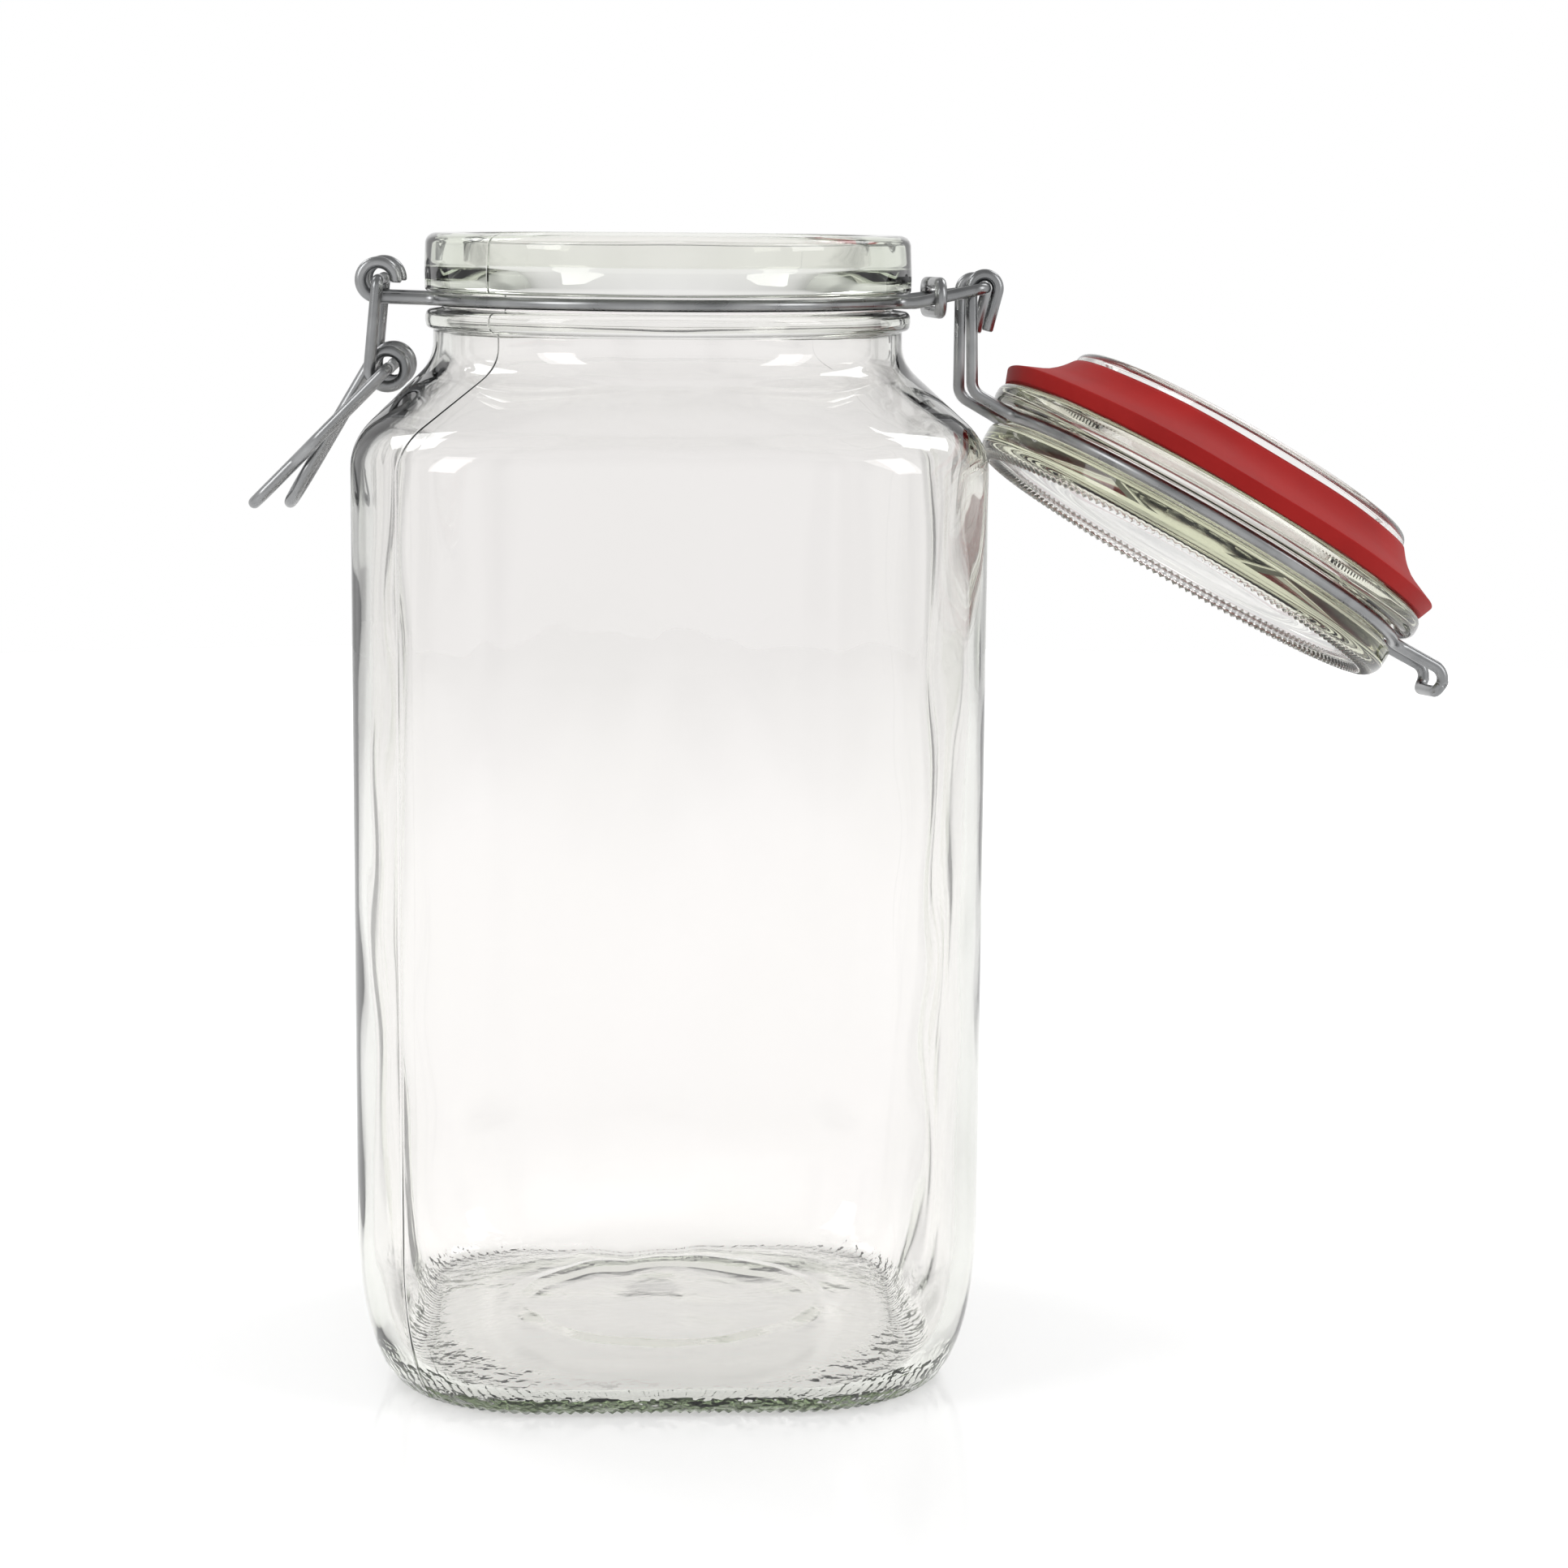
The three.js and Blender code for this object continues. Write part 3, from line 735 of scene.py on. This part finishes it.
coil = Vector(joint["bail_pivot"]["pos_m"])
coil_radius = 0.0037
coil_pitch = 0.0027
lever_arm_y = 0.0146
handle_y = lever_arm_y - coil_pitch
handle_length = 0.0358
handle_turn = 36.6
handle_bend = 0.0096
pin_bend = 0.0016
pin_end_y = eye_y - wire_radius - 0.0008
drop = coil - lever_pivot
lever_lean = math.degrees(math.atan2(drop.x, -drop.z))
handle_heading = 270 + lever_lean - handle_turn


def latch_lever():
    """From the pin in the eye, down the arm, once round the coil and along the handle."""
    arm_heading = 270 + lever_lean - math.degrees(math.asin(coil_radius / drop.length))
    turns = upright_arc(coil, coil_radius, 0, arm_heading - 90, handle_heading + 270)
    last = len(turns) - 1
    turns = [(x, lever_arm_y - coil_pitch * i / last, z) for i, (x, _, z) in enumerate(turns)]
    ahead = math.radians(handle_heading)
    tip_x = coil.x + handle_length * math.cos(ahead) + coil_radius * math.sin(ahead)
    tip_z = coil.z + handle_length * math.sin(ahead) - coil_radius * math.cos(ahead)
    return both_sides(
        lambda sign: [
            (lever_pivot.x, sign * pin_end_y, lever_pivot.z),
            (lever_pivot.x, sign * lever_arm_y, lever_pivot.z, pin_bend),
            *((x, sign * y, z) for x, y, z in turns),
            (tip_x, sign * handle_y, tip_z, handle_bend),
        ]
    )


lever = bent_wire("latch_lever_round", latch_lever())
lever.data.materials.append(wire_finish)
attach(lever, "lever")
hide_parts("latch_lever")

# ---- Latch bail --------------------------------------------------------------------------------
# The stirrup that pulls the lid down. It swings in the lever's coils, passes outside the lever's
# arms, and narrows to a square end that hooks over the lid's catch loop.

bail_length = 0.0404
bail_turn = math.radians(14.3)
bail_heading = math.radians(handle_heading) - bail_turn
bail_arm_y = lever_arm_y + coil_pitch + 0.0001
bail_end_y = 0.0124
bail_taper = drop.length + 2 * wire_radius - wire_gap
bail_narrow = (coil_radius + 2 * wire_radius + 2 * wire_gap) / math.sin(bail_turn)
bail_bend = 0.004


def on_bail(distance, y, radius=0):
    """A corner of the bail, at a distance from its pivot."""
    x = coil.x + distance * math.cos(bail_heading)
    z = coil.z + distance * math.sin(bail_heading)
    return (x, y, z, radius)


bail = bent_wire(
    "latch_bail_round",
    both_sides(
        lambda sign: [
            on_bail(0, sign * pin_end_y),
            on_bail(0, sign * bail_arm_y, pin_bend),
            on_bail(bail_taper, sign * bail_arm_y, bail_bend),
            on_bail(bail_narrow, sign * bail_end_y, bail_bend),
            on_bail(bail_length, sign * bail_end_y, bail_bend),
        ]
    ),
)
bail.data.materials.append(wire_finish)
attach(bail, "bail")
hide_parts("latch_bail")

# ---- Lid glass ---------------------------------------------------------------------------------
# A thick pressed lid: a hollow plug, a round flange over the sealing ring, a groove for the lid
# wire and a rounded crown. The mould leaves a ring of fine teeth round the sunk disc on top.
# It is drawn closed on the jar and then swung open about the hinge bar.

lid_swing = math.radians(joint["lid_hinge"]["range_deg"][1])
open_lid = (
    Matrix.Translation(hinge_bar)
    @ Matrix.Rotation(lid_swing, 4, hinge_axis)
    @ Matrix.Translation(-hinge_bar)
)
seat = jar_height + wire_gap
plug_radius = 0.0405
plug_end = -0.0119
flange_radius = 0.052
flange_low = 0.0021
lid_groove_low = flange_low + 0.0052
lid_groove_high = lid_groove_low + 0.0034
lid_groove_radius = 0.047
crown_radius = 0.0495
lid_top = 0.0183
hollow_top = 0.0093
hollow_flat = 0.0235
hollow_round = 0.012
plug_wall = 0.005
disc_sink = 0.0014
tooth_count = 168
teeth_inner, teeth_outer = 0.0445, 0.0458
tooth_band = 0.0025
tooth_height = 0.0009
tooth_depth = 0.0004
hollow_wave = 0.0003
hollow_waves = 60
wavy_top = 0.0035
wavy_reach = 0.036


def lid_glass():
    """One outline turned about the lid's axis, with teeth on the crown and waves in the plug."""
    profile = outline(
        [
            (0.001, 0, hollow_top),
            (hollow_flat, 0, hollow_top),
        ]
        + arc(hollow_flat, hollow_top - hollow_round, hollow_round, hollow_round, 90, 0, 8)
        + [
            (plug_radius - plug_wall, 0, plug_end, 0.0015),
            (plug_radius, 0, plug_end, 0.0022),
            (plug_radius, 0, flange_low, 0.0008),
            (flange_radius, 0, flange_low, 0.0022),
            (flange_radius, 0, lid_groove_low, 0.0022),
            (lid_groove_radius, 0, lid_groove_low, 0.0008),
            (lid_groove_radius, 0, lid_groove_high, 0.0008),
            (crown_radius, 0, lid_groove_high, 0.0016),
            (crown_radius, 0, lid_top, 0.0038),
            (teeth_outer, 0, lid_top, 0.0003),
            (teeth_inner, 0, lid_top - disc_sink, 0.0006),
            (0.001, 0, lid_top - disc_sink),
        ],
        longest=0.003,
    )
    sides = 4 * tooth_count
    bearings = [2 * math.pi * i / sides for i in range(sides)]
    rings = []
    for reach, height in profile:
        toothed = max(0, 1 - abs(reach - teeth_outer) / tooth_band)
        toothed = toothed if height > lid_groove_high else 0
        wavy = height < wavy_top and reach < wavy_reach
        ring = []
        for bearing in bearings:
            notch = toothed * (0.5 + 0.5 * math.cos(tooth_count * bearing))
            wave = 0
            if wavy:
                spot = Vector((math.cos(bearing), math.sin(bearing), 0)) * reach * hollow_waves
                wave = hollow_wave * noise.noise(spot)
            spread = reach - tooth_depth * notch
            x, y = spread * math.cos(bearing), spread * math.sin(bearing)
            lift = seat + height - tooth_height * notch + wave
            ring.append(open_lid @ Vector((x, y, lift)))
        rings.append(ring)
    ends = [open_lid @ Vector((0, 0, seat + h)) for h in (hollow_top, lid_top - disc_sink)]
    return close_skin("lid_glass_clear", rings, *ends)


lid = lid_glass()
lid.data.materials.append(clear_glass("lid_clear", 7, (0.42, 0.48, 0.02)))
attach(lid, "lid")
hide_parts("lid_glass")

# ---- Sealing ring ------------------------------------------------------------------------------
# A moulded ring of red rubber, stretched over the plug so that it stands up as a cone. When the
# lid closes, the rim presses it flat against the flange.

cone_end = -0.0090
cone_edge = -0.0011
cone_back = 0.0020
cone_radius = 0.0525
cone_bore = plug_radius + 0.0002


def sealing_ring():
    """The cone's outline turned about the lid's axis, with a little sway in its soft edge."""
    profile = outline(
        [
            (cone_bore + 0.0004, 0, cone_end, 0.0002),
            (0.0427, 0, -0.0069, 0.012),
            (0.0454, 0, -0.0043, 0.012),
            (cone_radius, 0, cone_edge, 0.0003),
            (cone_radius - 0.0012, 0, cone_back, 0.0003),
            (cone_bore, 0, cone_back),
            (cone_bore, 0, cone_end + 0.0003),
        ],
        longest=0.0015,
    )
    sides = 240
    rings = []
    for reach, height in profile:
        ring = []
        for i in range(sides):
            bearing = 2 * math.pi * i / sides
            sway = 0.00012 * math.sin(3 * bearing + 0.6) + 0.00008 * math.sin(7 * bearing)
            lift = seat + height + sway * (height < cone_back)
            x, y = reach * math.cos(bearing), reach * math.sin(bearing)
            ring.append(open_lid @ Vector((x, y, lift)))
        rings.append(ring)
    return close_skin("gasket_cone", rings)


def red_rubber():
    """Matt red rubber with a fine grain and faint cloudy patches."""
    material = bpy.data.materials.new("red_rubber")
    material.use_nodes = True
    tree = material.node_tree
    rubber = tree.nodes["Principled BSDF"]
    rubber.inputs["Specular IOR Level"].default_value = 0.16
    place = tree.nodes.new("ShaderNodeTexCoord")
    cloud = tree.nodes.new("ShaderNodeTexNoise")
    cloud.inputs["Scale"].default_value = 45
    cloud.inputs["Detail"].default_value = 6
    shade = tree.nodes.new("ShaderNodeValToRGB")
    shade.color_ramp.elements[0].position = 0.3
    shade.color_ramp.elements[0].color = (0.37, 0.012, 0.011, 1)
    shade.color_ramp.elements[1].position = 0.75
    shade.color_ramp.elements[1].color = (0.50, 0.022, 0.020, 1)
    rough = tree.nodes.new("ShaderNodeMapRange")
    rough.inputs["To Min"].default_value = 0.48
    rough.inputs["To Max"].default_value = 0.68
    grain = tree.nodes.new("ShaderNodeTexNoise")
    grain.inputs["Scale"].default_value = 1400
    grain.inputs["Detail"].default_value = 2
    relief = tree.nodes.new("ShaderNodeBump")
    relief.inputs["Strength"].default_value = 0.2
    relief.inputs["Distance"].default_value = 0.0001
    tree.links.new(place.outputs["Object"], cloud.inputs["Vector"])
    tree.links.new(place.outputs["Object"], grain.inputs["Vector"])
    tree.links.new(cloud.outputs["Fac"], shade.inputs["Fac"])
    tree.links.new(shade.outputs["Color"], rubber.inputs["Base Color"])
    tree.links.new(cloud.outputs["Fac"], rough.inputs["Value"])
    tree.links.new(rough.outputs["Result"], rubber.inputs["Roughness"])
    tree.links.new(grain.outputs["Fac"], relief.inputs["Height"])
    tree.links.new(relief.outputs["Normal"], rubber.inputs["Normal"])
    return material


gasket = sealing_ring()
gasket.data.materials.append(red_rubber())
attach(gasket, "lid")
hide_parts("gasket")
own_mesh(gasket)

# ---- Lid wire ----------------------------------------------------------------------------------
# One wire round the lid's groove. Its ends hook over the hinge bar, and at the front it runs out
# into a loop with a turned-up tip, which the bail catches.

lid_wire_gap = 0.00035
lid_arm_gap = 0.0008
lid_ring = lid_groove_radius + wire_radius + lid_wire_gap
lid_ring_z = seat + (lid_groove_low + lid_groove_high) / 2
lid_arm_y = hinge_strand_y - 2 * wire_radius - lid_arm_gap
lid_arm_bend = 0.0035
arm_bearing, catch_bearing = 19, 164.5
hook_radius = 2 * wire_radius + wire_gap
hook_tail = 0.0085
hook_curl = 15
catch_y = 0.00825
catch_hook = 2 * wire_radius + 2 * wire_gap
catch_tip = 0.0133
catch_bend = 0.0024


def lid_wire_side(sign):
    """From the hook's tail over the hinge bar, up the arm, round the groove and to the catch."""
    arm_y = sign * lid_arm_y
    bar = Vector((hinge_bar.x, 0, bar_height(arm_y)))
    arm = Vector((math.cos(lid_swing - math.pi / 2), 0, math.sin(lid_swing - math.pi / 2)))
    beside = Vector((math.cos(lid_swing - math.pi), 0, math.sin(lid_swing - math.pi)))
    beside *= hook_radius
    arm_length = (lid_ring_z - hinge_bar.z - beside.z) / arm.z
    hook_start = math.degrees(lid_swing) - 360 - hook_curl
    curl = math.radians(hook_start)
    hook_end = bar + hook_radius * Vector((math.cos(curl), 0, math.sin(curl)))
    hook_end += hook_tail * Vector((math.sin(curl), 0, -math.cos(curl)))
    catch_x = coil.x - catch_hook
    strand_z = coil.z + bail_length - catch_hook
    ring_start = leave_ring(lid_ring, arm_bearing, lid_arm_y)
    ring_end = leave_ring(lid_ring, catch_bearing, catch_y)
    return (
        [(hook_end.x, arm_y, hook_end.z)]
        + upright_arc(bar, hook_radius, arm_y, hook_start, hook_start + 180 + hook_curl)
        + [
            (hinge_bar.x + beside.x + arm.x * arm_length, arm_y, lid_ring_z, lid_arm_bend),
            (ring_start, arm_y, lid_ring_z, ring_bend),
        ]
        + level_arc(lid_ring, lid_ring_z, sign * arm_bearing, sign * catch_bearing)
        + [
            (ring_end, sign * catch_y, lid_ring_z, ring_bend),
            (catch_x, sign * catch_y, strand_z, catch_hook),
            (catch_x, sign * catch_y, seat + catch_tip, catch_bend),
        ]
    )


lid_bail = bent_wire("lid_wire_round", both_sides(lid_wire_side), placed=open_lid)
lid_bail.data.materials.append(wire_finish)
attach(lid_bail, "lid")
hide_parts("lid_wire")
